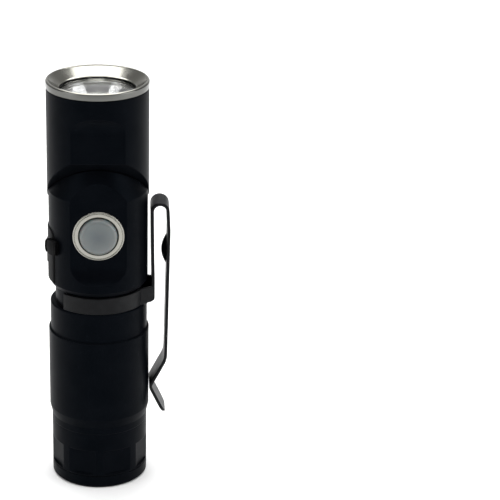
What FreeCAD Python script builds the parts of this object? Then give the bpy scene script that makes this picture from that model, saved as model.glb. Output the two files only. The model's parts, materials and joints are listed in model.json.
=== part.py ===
import FreeCAD, Part
import math
import os
import Sketcher

# Tactical flashlight with a swivelling head, standing on its tail.
# Frame: Z is the body axis, the tail face is z = 0, the button faces -Y, the pocket
# clip is at +X and the charging port at -X. The head is joined to the body at a plane
# tilted 45 degrees, high on the button side, and turns about that plane's normal.

os.makedirs("parts", exist_ok=True)
doc = FreeCAD.newDocument("flashlight")
sheet = doc.addObject("Spreadsheet::Sheet", "Sizes")

DRIVING = {
    # Lengths stacked along the axis, from the tail face to the rim
    "cap_length": 16.0, "grip_offset": 1.9, "grip_chamfer": 2.5, "grip_length": 22.4,
    "collar_length": 8.1, "neck_length": 5.1, "elbow_rise": 25.0, "head_rise": 29.1,
    "bezel_height": 1.9,
    # Outer radii
    "tube_radius": 12.8, "grip_step": 0.6, "collar_step": 0.1, "housing_radius": 13.1,
    "head_radius": 13.4, "bezel_step": 0.1, "neck_radius": 11.5,
    # Clearances
    "fit_gap": 0.04, "run_gap": 0.08, "seam_gap": 0.25, "seat_gap": 0.1, "cover_gap": 0.2,
    # Elbow and swivel
    "corner_reach": 9.3, "taper_start": 1.2, "web_thickness": 3.1, "pivot_radius": 6.0,
    "pivot_bore": 3.4, "pivot_head_length": 6.0, "washer_radius": 7.8, "washer_thickness": 0.5,
    "ring_thickness": 0.9, "ring_radius": 7.6, "ring_groove": 0.55, "pivot_tail": 0.55,
    "swivel_seal_radius": 7.8, "swivel_seal_wire": 0.5,
    # Head
    "head_flat": 11.4, "head_flat_cutter": 6.4, "head_flat_drop": 9.6, "cavity_radius": 11.3,
    "floor_drop": 14.1, "mouth_radius": 12.25, "mouth_depth": 2.7, "edge_break": 0.3,
    "rim_wall": 0.55, "bezel_opening": 10.0, "bezel_cone": 2.3,
    "lens_radius": 11.2, "lens_thickness": 1.6, "lens_seal_thickness": 0.4,
    "lens_seal_width": 1.35, "spreader_thickness": 0.8, "board_thickness": 1.2,
    "board_radius": 8.0, "gasket_thickness": 0.6, "gasket_radius": 5.0, "reflector_throat": 2.9,
    "reflector_mouth": 9.9, "reflector_flange": 0.9, "reflector_wall": 0.7, "led_width": 3.5,
    "led_height": 0.7, "led_dome": 1.3, "lead_radius": 0.4, "lead_pitch": 1.9, "wire_bore": 2.4,
    # Switch housing
    "inner_radius": 9.8, "housing_flat": 10.8, "housing_flat_cutter": 6.6, "shoulder_inset": 0.8,
    "shoulder_chamfer": 1.2, "flat_start": 8.2, "button_rise": 16.6,
    # Button
    "button_ring_radius": 6.75, "button_ring_face": 1.65, "button_ring_depth": 2.1,
    "button_ring_proud": 0.3, "button_ring_land": 1.0, "button_ring_wall": 0.87,
    "button_cap_proud": 1.7,
    "button_flange_thickness": 0.7, "button_post": 1.6, "button_travel": 0.8,
    "plunger_radius": 1.2, "plunger_length": 1.5, "switch_width": 5.2, "switch_depth": 1.8,
    # Control board and charging port
    "control_front": 3.2, "control_thickness": 1.6, "control_half_width": 9.0,
    "control_top": 18.8, "socket_length": 9.0, "socket_width": 3.2, "socket_depth": 7.0,
    "socket_wall": 0.35, "tongue_length": 4.6, "tongue_thickness": 0.7, "tongue_inset": 1.0,
    "chip_left": 2.0, "chip_low": 3.0, "chip_column": 4.0, "chip_row": 6.0, "chip_height": 0.98,
    "charger_size": 4.0, "driver_size": 3.0, "coil_size": 2.4, "lamp_gap": 1.0,
    # Port cover
    "cover_width": 12.4,
    "cover_length": 15.8, "cover_start": 0.4, "cover_floor": 11.1, "cover_proud": 0.3,
    "cover_corner": 2.2, "anchor_length": 1.9, "peg_radius": 0.5, "plug_length": 7.0, "plug_width": 2.2,
    "plug_depth": 1.4, "tab_height": 3.4, "tab_width": 3.6, "tab_proud": 1.0, "tab_offset": 0.2,
    "tab_wrap": 0.6, "tab_rise": 11.9,
    # Battery tube, cell and contacts
    "tube_bore": 9.5, "thread_radius": 10.4, "thread_reach": 4.3, "contact_board_thickness": 1.6,
    "housing_seal_thickness": 0.4, "tail_thread_radius": 11.0, "tail_thread_length": 5.0,
    "tail_seal_wire": 0.45, "cell_radius": 9.15, "cell_length": 37.0, "cell_nub_radius": 3.0,
    "cell_nub": 1.0, "spring_wire": 0.35, "tail_spring_radius": 4.5, "front_spring_radius": 2.6,
    # Tail cap
    "cap_edge": 0.5, "cap_floor": 1.2, "magnet_radius": 8.0, "magnet_thickness": 3.0,
    "contact_thickness": 0.7, "contact_radius": 10.0, "flat_bottom": 3.8, "flat_length": 7.2,
    "cap_flat": 12.2, "cap_flat_width": 7.7, "line_height": 3.3, "line_width": 0.25,
    "cap_flat_count": 8.0,
    # Pocket clip
    "band_gap": 0.25, "band_thickness": 0.85, "band_height": 4.6, "band_mouth": 42.0,
    "pad_inset": 1.0, "pad_step": 0.3, "pad_root": 5.6, "clip_width": 8.0, "strip": 0.85,
    "leg_root": 4.3,
    "leg_clearance": 0.35, "bend_radius": 1.65, "bend_drop": 4.4, "arm_bulge": 0.25,
    "bulge_drop": 5.6, "arm_low_inset": 0.45, "arm_low_rise": 15.2, "tip_clearance": 0.35,
    "tip_rise": 8.1, "tip_flare": 3.0, "tip_drop": 8.0, "dimple_length": 8.5, "dimple_width": 4.6,
    "dimple_depth": 1.5, "dimple_drop": 11.6,
}


class Size:
    """A length kept as a number and as the spreadsheet expression that gives it."""

    def __init__(self, value, text):
        self.value = value
        self.text = text

    def __add__(self, other):
        other = as_size(other)
        return Size(self.value + other.value, f"({self.text} + {other.text})")

    def __sub__(self, other):
        other = as_size(other)
        return Size(self.value - other.value, f"({self.text} - {other.text})")

    def __mul__(self, other):
        other = as_size(other)
        return Size(self.value * other.value, f"({self.text} * {other.text})")

    def __truediv__(self, other):
        other = as_size(other)
        return Size(self.value / other.value, f"({self.text} / {other.text})")

    def __neg__(self):
        return Size(-self.value, f"(0 - {self.text})")


def as_size(item):
    """Take a plain number as a size too."""
    if isinstance(item, Size):
        return item
    return Size(float(item), f"({float(item)})")


def root(item):
    """Square root of a size."""
    return Size(math.sqrt(item.value), f"sqrt({item.text})")


def tangent(item):
    """Tangent of an angle in degrees."""
    return Size(math.tan(math.radians(item.value)), f"tan({item.text})")


def larger(first, second):
    """The larger of two sizes."""
    return Size(max(first.value, second.value), f"max({first.text}; {second.text})")


def driving_size(row, alias, value):
    """Write one driving dimension to the sheet and return it as a bound size."""
    sheet.set(f"A{row}", alias)
    sheet.set(f"B{row}", str(value))
    sheet.setAlias(f"B{row}", alias)
    return Size(value, f"Sizes.{alias}")


class Dimensions:
    """The driving dimensions by name."""


d = Dimensions()
for line, (alias, value) in enumerate(DRIVING.items(), start=1):
    setattr(d, alias, driving_size(line, alias, value))
doc.recompute()

ZERO = as_size(0)
SLOPE = root(as_size(0.5))
TILT = FreeCAD.Rotation(FreeCAD.Vector(1, 0, 0), -45)
TILT_DOWN = FreeCAD.Rotation(FreeCAD.Vector(1, 0, 0), 135)
TO_FRONT = FreeCAD.Rotation(FreeCAD.Vector(1, 0, 0), 90)
ALONG_X = FreeCAD.Rotation(FreeCAD.Vector(0, 1, 0), 90)

# Heights along the body axis
grip_bottom = d.cap_length + d.grip_offset
grip_edge = grip_bottom + d.grip_chamfer
grip_top = grip_edge + d.grip_length
collar_top = grip_top + d.collar_length
shoulder = collar_top + d.neck_length
elbow = shoulder + d.elbow_rise
head_top = elbow + d.head_rise
rim = head_top + d.bezel_height
half_seam = d.seam_gap / 2

# Radii that follow their neighbours
grip_radius = d.tube_radius + d.grip_step
collar_radius = d.tube_radius + d.collar_step
bezel_radius = d.head_radius + d.bezel_step
casing_radius = larger(d.head_radius, d.housing_radius)
ring_bore = d.button_ring_radius - d.button_ring_face
cap_radius = ring_bore - d.cover_gap
flange_radius = d.button_ring_radius - d.button_ring_wall - d.run_gap

parts = {}


def keep(label, item):
    """Name a finished sub-part and list it for export."""
    item.Label = label
    parts[label] = item
    return item


def bind(item, prop, wanted):
    """Set a property to a size and tie it to the sheet."""
    item.setExpression(prop, as_size(wanted).text)


def place(item, x=ZERO, y=ZERO, z=ZERO, rotation=None):
    """Put an object at sheet-driven coordinates."""
    if rotation is not None:
        item.Placement = FreeCAD.Placement(FreeCAD.Vector(0, 0, 0), rotation)
    for axis, wanted in (("x", x), ("y", y), ("z", z)):
        if as_size(wanted).value != 0:
            bind(item, f"Placement.Base.{axis}", wanted)
    return item


def outline_sketch(body, name, plane_role, corners):
    """Draw a closed polygon whose corners are tied to the sheet."""
    sketch = body.newObject("Sketcher::SketchObject", f"{name}_outline")
    plane = next(item for item in body.Origin.OriginFeatures if item.Role == plane_role)
    sketch.AttachmentSupport = [(plane, "")]
    sketch.MapMode = "FlatFace"
    corners = [(as_size(across), as_size(along)) for across, along in corners]
    points = [FreeCAD.Vector(across.value, along.value, 0) for across, along in corners]
    count = len(points)
    for index in range(count):
        sketch.addGeometry(Part.LineSegment(points[index], points[(index + 1) % count]))
    for index in range(count):
        sketch.addConstraint(Sketcher.Constraint("Coincident", index, 2, (index + 1) % count, 1))
    for index, corner in enumerate(corners):
        for kind, wanted, axis in (("DistanceX", corner[0], -2), ("DistanceY", corner[1], -1)):
            if wanted.value == 0:
                sketch.addConstraint(Sketcher.Constraint("PointOnObject", index, 1, axis))
            else:
                rule = Sketcher.Constraint(kind, index, 1, wanted.value)
                number = sketch.addConstraint(rule)
                sketch.setExpression(f"Constraints[{number}]", wanted.text)
    return sketch


def turned(name, corners):
    """Turn an outline of (radius, height) corners about Z."""
    body = doc.addObject("PartDesign::Body", name)
    sketch = outline_sketch(body, name, "XZ_Plane", corners)
    turn = body.newObject("PartDesign::Revolution", f"{name}_turn")
    turn.Profile = sketch
    turn.ReferenceAxis = (sketch, ["V_Axis"])
    turn.Angle = 360
    return body


def plate(name, plane_role, corners, thickness):
    """Pad an outline by the same amount to both sides of its plane."""
    body = doc.addObject("PartDesign::Body", name)
    sketch = outline_sketch(body, name, plane_role, corners)
    pad = body.newObject("PartDesign::Pad", f"{name}_pad")
    pad.Profile = sketch
    pad.SideType = "Symmetric"
    bind(pad, "Length", thickness)
    return body


def cylinder(name, radius, length, x=ZERO, y=ZERO, z=ZERO, rotation=None, sweep=360):
    """A round bar, or a sector of one, from its base point along its own axis."""
    bar = doc.addObject("Part::Cylinder", name)
    bind(bar, "Radius", radius)
    bind(bar, "Height", length)
    bar.Angle = sweep
    return place(bar, x, y, z, rotation)


def block(name, x_range, y_range, z_range):
    """A box between two corners."""
    box = doc.addObject("Part::Box", name)
    for prop, (low, high) in (("Length", x_range), ("Width", y_range), ("Height", z_range)):
        bind(box, prop, as_size(high) - low)
    return place(box, as_size(x_range[0]), as_size(y_range[0]), as_size(z_range[0]))


def cut(name, base, *tools):
    """Take tools away from a base."""
    result = doc.addObject("Part::Cut", name)
    result.Base = base
    result.Tool = tools[0] if len(tools) == 1 else fuse(f"{name}_tools", *tools)
    return result


def fuse(name, *items):
    """Join overlapping or touching solids into one."""
    result = doc.addObject("Part::MultiFuse", name)
    result.Shapes = list(items)
    result.Refine = True
    return result


def common(name, first, second):
    """Keep what two solids share."""
    result = doc.addObject("Part::Common", name)
    result.Base = first
    result.Tool = second
    return result


def group(name, *items):
    """Hold several separate solids of one kind together."""
    result = doc.addObject("Part::Compound", name)
    result.Links = list(items)
    return result


def ring_about(name, major, minor, x=ZERO, y=ZERO, z=ZERO, rotation=None):
    """A round-section ring."""
    torus = doc.addObject("Part::Torus", name)
    bind(torus, "Radius1", major)
    bind(torus, "Radius2", minor)
    return place(torus, x, y, z, rotation)


def capsule(name, radius, half_length, x, z):
    """An upright bar with round ends, given by its radius and overall half length."""
    straight = as_size(half_length) - radius
    ends = []
    for end, sign in (("low", -1), ("high", 1)):
        ball = doc.addObject("Part::Sphere", f"{name}_{end}")
        bind(ball, "Radius", radius)
        ends.append(place(ball, x, ZERO, as_size(z) + straight * sign))
    bar = cylinder(f"{name}_bar", radius, straight * 2, x, ZERO, as_size(z) - straight)
    return fuse(name, bar, *ends)


def on_swivel(name, radius, start, end):
    """A round bar on the swivel axis, between two distances from the elbow's centre."""
    start = as_size(start)
    offset = start * SLOPE
    return cylinder(name, radius, as_size(end) - start, ZERO, offset, elbow + offset, TILT)


def on_button(name, radius, inner, outer):
    """A round bar on the button's axis, between two distances from the body axis."""
    inner = as_size(inner)
    length = as_size(outer) - inner
    return cylinder(name, radius, length, ZERO, -inner, button_height, TO_FRONT)


def above_seam(name, offset):
    """Everything on the head's side of a plane parallel to the seam."""
    reach = rim + rim
    offset = as_size(offset)
    return cylinder(name, reach, reach, ZERO, offset * SLOPE, elbow + offset * SLOPE, TILT)


def below_seam(name, offset):
    """Everything on the body's side of a plane parallel to the seam."""
    reach = rim + rim
    drop = as_size(offset) * SLOPE
    return cylinder(name, reach, reach, ZERO, -drop, elbow - drop, TILT_DOWN)


def rounded_panel(name, depth_range, half_width, z_range, radius):
    """A block across X whose two upper corners are rounded."""
    low, high = z_range
    core = block(f"{name}_core", depth_range, (-half_width, half_width), (low, high - radius))
    top = block(f"{name}_top", depth_range, (-half_width + radius, half_width - radius),
                (high - radius - radius, high))
    length = as_size(depth_range[1]) - depth_range[0]
    corners = []
    for side, y in (("front", -half_width + radius), ("back", half_width - radius)):
        corners.append(cylinder(f"{name}_{side}", radius, length, as_size(depth_range[0]), y,
                                high - radius, ALONG_X))
    return fuse(name, core, top, *corners)


# ---------------------------------------------------------------- head
floor = head_top - d.floor_drop
mouth_floor = head_top - d.mouth_depth
lens_bottom = mouth_floor
lens_top = lens_bottom + d.lens_thickness
seal_top = lens_top + d.lens_seal_thickness
pivot_top = d.pivot_head_length
bore_place = pivot_top * SLOPE


def head_flat_cut(side, direction):
    """One flat of the head with the round run-out that its cutter leaves."""
    run_out = head_top - d.head_flat_drop
    far = d.head_radius * 2
    bottom = elbow - d.head_radius * 2
    near = (d.head_flat * direction, far * direction)
    flat = block(f"head_flat_{side}", (-far, far), (min(near, key=lambda item: item.value),
                 max(near, key=lambda item: item.value)), (bottom, run_out))
    middle = (d.head_flat + d.head_flat_cutter) * direction
    cutter = cylinder(f"head_cutter_{side}", d.head_flat_cutter, far * 2, -far, middle, run_out,
                      ALONG_X)
    return fuse(f"head_flat_cut_{side}", flat, cutter)


def make_head_housing():
    """Front casing: turned outside, tapered below the elbow, two flats, stepped bore."""
    outside = turned("head_outside", [
        (ZERO, elbow - d.corner_reach), (d.corner_reach, elbow - d.corner_reach),
        (d.head_radius, elbow - d.taper_start), (d.head_radius, head_top - d.edge_break),
        (d.head_radius - d.edge_break, head_top), (ZERO, head_top)])
    blank = common("head_blank", outside, above_seam("head_side", half_seam))
    inside = turned("head_inside", [
        (ZERO, floor), (d.cavity_radius, floor), (d.cavity_radius, mouth_floor),
        (d.mouth_radius, mouth_floor), (d.mouth_radius, rim), (ZERO, rim)])
    pivot_seat = on_swivel("pivot_seat", d.pivot_radius + d.fit_gap, ZERO, pivot_top)
    wire_bore = cylinder("head_wire_bore", d.wire_bore, floor - elbow, ZERO, bore_place,
                         elbow + bore_place - d.wire_bore)
    keep("head_housing", cut("head_housing", blank, inside, pivot_seat, wire_bore,
                             head_flat_cut("front", -1), head_flat_cut("back", 1)))


def make_bezel():
    """Polished rim that screws into the mouth and holds the lens down."""
    skirt_out = d.mouth_radius - d.fit_gap
    skirt_in = d.lens_radius + d.seat_gap
    cone_low = rim - d.bezel_cone
    lip_low = seal_top
    keep("bezel_ring", turned("bezel_ring", [
        (d.bezel_opening, lip_low), (skirt_in, lip_low), (skirt_in, lens_bottom + d.seat_gap),
        (skirt_out, lens_bottom + d.seat_gap), (skirt_out, head_top), (bezel_radius, head_top),
        (bezel_radius, rim - d.edge_break), (bezel_radius - d.edge_break, rim),
        (bezel_radius - d.rim_wall, rim), (d.bezel_opening + d.edge_break, cone_low),
        (d.bezel_opening, cone_low - d.edge_break)]))


def make_lens():
    """Flat glass with broken edges, and the black seal between it and the bezel."""
    soft = d.edge_break
    keep("front_lens", turned("front_lens", [
        (ZERO, lens_bottom), (d.lens_radius - soft, lens_bottom),
        (d.lens_radius, lens_bottom + soft), (d.lens_radius, lens_top - soft),
        (d.lens_radius - soft, lens_top), (ZERO, lens_top)]))
    keep("lens_seal", turned("lens_seal", [
        (d.lens_radius - d.lens_seal_width, lens_top), (d.lens_radius, lens_top),
        (d.lens_radius, seal_top), (d.lens_radius - d.lens_seal_width, seal_top)]))


def make_reflector():
    """Parabolic cup: the throat sits on the gasket and the flange under the lens."""
    steps = 8
    base = floor + d.spreader_thickness + d.board_thickness + d.gasket_thickness
    flange_low = lens_bottom - d.reflector_flange
    span = d.reflector_mouth - d.reflector_throat
    depth = lens_bottom - base
    steepness = (d.reflector_mouth * d.reflector_mouth - d.reflector_throat * d.reflector_throat)
    inner = []
    for step in range(steps + 1):
        radius = d.reflector_throat + span * step / steps
        rise = (radius * radius - d.reflector_throat * d.reflector_throat) / steepness * depth
        inner.append((radius, base + rise))
    wall = d.reflector_wall
    middle_radius, middle_height = inner[steps // 2]
    outer = [(d.cavity_radius - d.fit_gap, lens_bottom), (d.cavity_radius - d.fit_gap, flange_low),
             (d.reflector_mouth + wall, flange_low), (middle_radius + wall + wall, middle_height),
             (d.reflector_throat + wall, base)]
    keep("reflector", turned("reflector", inner + outer))


def make_light_engine():
    """Heat spreader, LED board, LED, insulating gasket and the two leads."""
    board_low = floor + d.spreader_thickness
    board_top = board_low + d.board_thickness
    hole = d.lead_radius + d.seat_gap
    lead_end = board_top - d.seat_gap
    leads = []
    for blank, radius, low, high in (
            ("heat_spreader", d.cavity_radius - d.fit_gap, floor, board_low),
            ("led_board", d.board_radius, board_low, board_top)):
        disc = cylinder(f"{blank}_disc", radius, high - low, z=low)
        holes = [cylinder(f"{blank}_hole_{side}", hole, high - low, d.lead_pitch / 2 * sign,
                          bore_place, low) for side, sign in (("left", -1), ("right", 1))]
        keep(blank, cut(blank, disc, *holes))
    for side, sign in (("left", -1), ("right", 1)):
        x = d.lead_pitch / 2 * sign
        corner = elbow + bore_place
        upright = cylinder(f"lead_up_{side}", d.lead_radius, lead_end - corner, x, bore_place,
                           corner)
        bend = doc.addObject("Part::Sphere", f"lead_bend_{side}")
        bind(bend, "Radius", d.lead_radius)
        place(bend, x, bore_place, corner)
        sloped = cylinder(f"lead_down_{side}", d.lead_radius, pivot_top - pivot_end, x,
                          bore_place, corner, TILT_DOWN)
        leads.append(fuse(f"lead_{side}", upright, bend, sloped))
    keep("led_leads", group("led_leads", *leads))
    half = d.led_width / 2
    chip = block("led_chip", (-half, half), (-half, half), (board_top, board_top + d.led_height))
    dome = doc.addObject("Part::Sphere", "led_dome")
    bind(dome, "Radius", d.led_dome)
    dome.Angle1 = 0
    place(dome, z=board_top + d.led_height)
    keep("led_emitter", fuse("led_emitter", chip, dome))
    keep("led_gasket", turned("led_gasket", [
        (d.reflector_throat, board_top), (d.gasket_radius, board_top),
        (d.gasket_radius, board_top + d.gasket_thickness),
        (d.reflector_throat, board_top + d.gasket_thickness)]))


# ---------------------------------------------------------------- swivel
web_face = -(half_seam + d.web_thickness)
washer_face = web_face - d.washer_thickness
ring_front = washer_face - d.run_gap
ring_back = ring_front - d.ring_thickness
pivot_end = ring_back - d.pivot_tail


def make_swivel():
    """Hollow pivot fixed in the head, its washer, snap ring and seal."""
    neck = d.pivot_radius - d.ring_groove
    shaft = on_swivel("pivot_shaft", d.pivot_radius, pivot_end, pivot_top)
    hollow = on_swivel("pivot_hollow", d.pivot_bore, pivot_end, pivot_top)
    groove = cut("pivot_groove",
                 on_swivel("pivot_groove_outer", d.washer_radius, ring_back - d.fit_gap,
                           ring_front + d.fit_gap),
                 on_swivel("pivot_groove_core", neck, pivot_end, pivot_top))
    keep("swivel_pivot", cut("swivel_pivot", shaft, hollow, groove))
    washer = on_swivel("washer_disc", d.washer_radius, washer_face, web_face)
    washer_hole = on_swivel("washer_hole", d.pivot_radius + d.run_gap, washer_face, web_face)
    keep("swivel_washer", cut("swivel_washer", washer, washer_hole))
    ring = on_swivel("snap_ring_disc", d.ring_radius, ring_back, ring_front)
    ring.Angle = 310
    ring_hole = on_swivel("snap_ring_hole", neck + d.fit_gap, ring_back, ring_front)
    keep("snap_ring", cut("snap_ring", ring, ring_hole))
    depth = -(half_seam + d.swivel_seal_wire)
    keep("swivel_seal", ring_about("swivel_seal", d.swivel_seal_radius,
                                   d.swivel_seal_wire - d.fit_gap, ZERO, depth * SLOPE,
                                   elbow + depth * SLOPE, TILT))


# ---------------------------------------------------------------- switch housing
button_height = shoulder + d.button_rise
ledge = collar_top + d.thread_reach + d.contact_board_thickness
neck_bore = d.thread_radius + d.fit_gap
socket_middle = shoulder + d.cover_start + d.cover_length / 2
cover_low = shoulder + d.cover_start
cover_high = cover_low + d.cover_length
cover_half = d.cover_width / 2
outer_x = -(d.housing_radius * 2)


def make_switch_housing():
    """Body casing: neck for the clip, button flat, port seat, swivel web with its bore."""
    far = d.housing_radius * 2
    outside = turned("housing_outside", [
        (ZERO, collar_top + d.housing_seal_thickness),
        (d.neck_radius, collar_top + d.housing_seal_thickness), (d.neck_radius, shoulder),
        (d.housing_radius - d.shoulder_inset, shoulder),
        (d.housing_radius, shoulder + d.shoulder_chamfer),
        (d.housing_radius, elbow + d.taper_start),
        (d.corner_reach, elbow + d.corner_reach), (ZERO, elbow + d.corner_reach)])
    blank = common("housing_blank", outside, below_seam("body_side", half_seam))
    chamber = cylinder("chamber", d.inner_radius, elbow + far - ledge, z=ledge)
    chamber_top = below_seam("chamber_ceiling", -web_face)
    cavity = common("cavity", chamber, chamber_top)
    socket_of_neck = cylinder("neck_bore", neck_bore, ledge - collar_top, z=collar_top)
    pivot_hole = on_swivel("pivot_hole", d.pivot_radius + d.run_gap, web_face, d.pivot_radius)
    seal_half = d.swivel_seal_wire
    seal_floor = -(half_seam + d.swivel_seal_wire * 2)
    seal_groove = cut("seal_groove",
                      on_swivel("seal_groove_outer", d.swivel_seal_radius + seal_half, seal_floor,
                                half_seam),
                      on_swivel("seal_groove_core", d.swivel_seal_radius - seal_half, seal_floor,
                                half_seam))
    flat_start = shoulder + d.flat_start
    flat = block("button_flat", (-far, far), (-far, -d.housing_flat), (flat_start, elbow + far))
    flat_cutter = cylinder("button_flat_cutter", d.housing_flat_cutter, far * 2, -far,
                           -(d.housing_flat + d.housing_flat_cutter), flat_start, ALONG_X)
    ring_seat = on_button("ring_seat", d.button_ring_radius + d.fit_gap,
                          d.housing_flat - d.button_ring_depth, far)
    button_hole = on_button("button_hole", flange_radius + d.run_gap, d.control_front, far)
    gap = d.cover_gap
    port_seat = rounded_panel("port_seat", (outer_x, -d.cover_floor), cover_half + gap,
                              (shoulder - far, cover_high + gap), d.cover_corner + gap)
    port_seat_zone = block("port_seat_zone", (outer_x, ZERO), (-far, far), (shoulder, cover_high + gap))
    port_seat_cut = common("port_seat_cut", port_seat, port_seat_zone)
    slot_half = d.socket_width / 2 + gap
    slot = block("socket_slot", (outer_x, -d.socket_depth), (-slot_half, slot_half),
                 (socket_middle - d.socket_length / 2 - gap, socket_middle + d.socket_length / 2 + gap))
    anchor_hole = cylinder("anchor_hole", d.peg_radius + d.fit_gap, -outer_x - d.inner_radius,
                           outer_x, ZERO, anchor_middle, ALONG_X)
    keep("switch_housing", cut("switch_housing", blank, cavity, socket_of_neck, pivot_hole,
                               seal_groove, flat, flat_cutter, ring_seat, button_hole,
                               port_seat_cut, slot, anchor_hole))


def make_button():
    """Ring pressed into the flat, domed cap behind it, and the switch plunger."""
    ring_inner = d.housing_flat - d.button_ring_depth
    ring_face = d.housing_flat + d.button_ring_proud
    flange_outer = ring_inner + d.button_travel + d.seat_gap
    groove_low = d.button_ring_radius - d.button_ring_land
    ring = turned("button_ring", [
        (flange_radius + d.run_gap, ZERO), (d.button_ring_radius, ZERO),
        (d.button_ring_radius, ring_face - ring_inner - d.edge_break),
        (d.button_ring_radius - d.edge_break, ring_face - ring_inner),
        (groove_low + d.edge_break, ring_face - ring_inner),
        (groove_low, d.button_ring_depth), (groove_low - d.edge_break, d.button_ring_depth),
        (groove_low - d.edge_break * 1.5, ring_face - ring_inner),
        (ring_bore, ring_face - ring_inner),
        (ring_bore, flange_outer - ring_inner + d.run_gap),
        (flange_radius + d.run_gap, flange_outer - ring_inner + d.run_gap)])
    place(ring, ZERO, -ring_inner, button_height, TO_FRONT)
    keep("button_ring", ring)
    post_end = plunger_outer
    base = flange_outer - d.button_flange_thickness
    top = d.housing_flat + d.button_cap_proud - post_end
    crown = d.edge_break * 2
    cap = turned("button_cap", [
        (ZERO, ZERO), (d.button_post, ZERO), (d.button_post, base - post_end),
        (flange_radius, base - post_end), (flange_radius, flange_outer - post_end),
        (cap_radius, flange_outer - post_end), (cap_radius, top - crown),
        (cap_radius - d.edge_break, top - d.edge_break),
        (cap_radius - crown * 2, top), (ZERO, top + d.edge_break / 4)])
    place(cap, ZERO, -post_end, button_height, TO_FRONT)
    keep("button_cap", cap)
    keep("switch_plunger", on_button("switch_plunger", d.plunger_radius,
                                     plunger_outer - d.plunger_length, plunger_outer))


switch_face = d.control_front + d.switch_depth
plunger_outer = switch_face + d.button_travel + d.seat_gap


def make_electronics():
    """Control board with its switch, chips, indicator LEDs and charging socket."""
    board_back = d.control_front - d.control_thickness
    board_top = shoulder + d.control_top
    half = d.control_half_width
    keep("control_board", block("control_board", (-half, half), (-d.control_front, -board_back),
                                (ledge, board_top)))
    side = d.switch_width / 2
    case = block("switch_case", (-side, side), (-switch_face, -d.control_front),
                 (button_height - side, button_height + side))
    hole = on_button("plunger_hole", d.plunger_radius + d.run_gap, d.control_front + d.seat_gap,
                     switch_face)
    keep("tact_switch", cut("tact_switch", case, hole))
    lamp_front = d.control_front + d.led_height
    lamps = []
    for name, sign in (("left", -1), ("right", 1)):
        middle = (side + d.lamp_gap) * sign
        lamps.append(block(f"lamp_{name}", (middle - d.led_height, middle + d.led_height),
                           (-lamp_front, -d.control_front),
                           (button_height - d.led_height, button_height + d.led_height)))
    keep("indicator_leds", group("indicator_leds", *lamps))
    chips = []
    upper_row = d.chip_low + d.chip_row
    for name, size, left, low in (("charger", d.charger_size, d.chip_left, d.chip_low),
                                  ("driver", d.driver_size, d.chip_left, upper_row),
                                  ("coil", d.coil_size, d.chip_left + d.chip_column, upper_row)):
        chips.append(block(f"chip_{name}", (left, left + size),
                           (-board_back, d.chip_height - board_back),
                           (ledge + low, ledge + low + size)))
    keep("board_chips", group("board_chips", *chips))
    mouth = -(d.cover_floor)
    back = mouth + d.socket_depth
    socket_half = d.socket_width / 2
    low = socket_middle - d.socket_length / 2
    high = socket_middle + d.socket_length / 2
    shell = block("socket_shell", (mouth, back), (-socket_half, socket_half), (low, high))
    wall = d.socket_wall
    hollow = block("socket_hollow", (mouth, back - wall), (wall - socket_half, socket_half - wall),
                   (low + wall, high - wall))
    tongue = block("socket_tongue", (back - d.tongue_length, back),
                   (-d.tongue_thickness / 2, d.tongue_thickness / 2),
                   (low + d.tongue_inset, high - d.tongue_inset))
    keep("charging_socket", fuse("charging_socket", cut("socket_can", shell, hollow), tongue))


anchor_top = cover_low + d.anchor_length
anchor_middle = cover_low + d.anchor_length / 2


def cover_blank(name):
    """Outer form of the rubber cover: the housing's surface, stood proud by a little."""
    proud = d.housing_radius + d.cover_proud
    return turned(name, [
        (ZERO, cover_low), (proud - d.shoulder_inset, cover_low),
        (proud, cover_low + d.shoulder_chamfer), (proud, cover_high), (ZERO, cover_high)])


def make_port_cover():
    """Rubber cover with its plug and pull tab, and the strap that anchors it below."""
    panel = rounded_panel("cover_panel", (outer_x, -d.cover_floor), cover_half,
                          (anchor_top, cover_high), d.cover_corner)
    leaf = common("cover_leaf", cover_blank("cover_form"), panel)
    plug_half = d.plug_width / 2
    plug = block("cover_plug", (-d.cover_floor, d.plug_depth - d.cover_floor),
                 (-plug_half, plug_half),
                 (socket_middle - d.plug_length / 2, socket_middle + d.plug_length / 2))
    tab_middle = shoulder + d.tab_rise
    start = d.housing_radius + d.run_gap
    tab_y = -(cover_half + d.tab_offset)
    tab = block("cover_tab", (-(start + d.tab_proud), -(d.cover_floor - d.tab_wrap)),
                (tab_y - d.tab_width / 2, tab_y + d.tab_width / 2),
                (tab_middle - d.tab_height / 2, tab_middle + d.tab_height / 2))
    clear = cylinder("tab_clearance", start, d.tab_height * 2, z=tab_middle - d.tab_height)
    outer_tab = cut("cover_tab_outer", tab, clear)
    keep("port_cover", fuse("port_cover", leaf, plug, outer_tab))
    strap_box = block("anchor_zone", (outer_x, -d.cover_floor), (-cover_half, cover_half),
                      (cover_low, anchor_top))
    strap = common("anchor_strap", cover_blank("anchor_form"), strap_box)
    peg = cylinder("anchor_peg", d.peg_radius, d.cover_floor - d.inner_radius, -d.cover_floor,
                   ZERO, anchor_middle, ALONG_X)
    keep("cover_anchor", fuse("cover_anchor", strap, peg))


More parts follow.
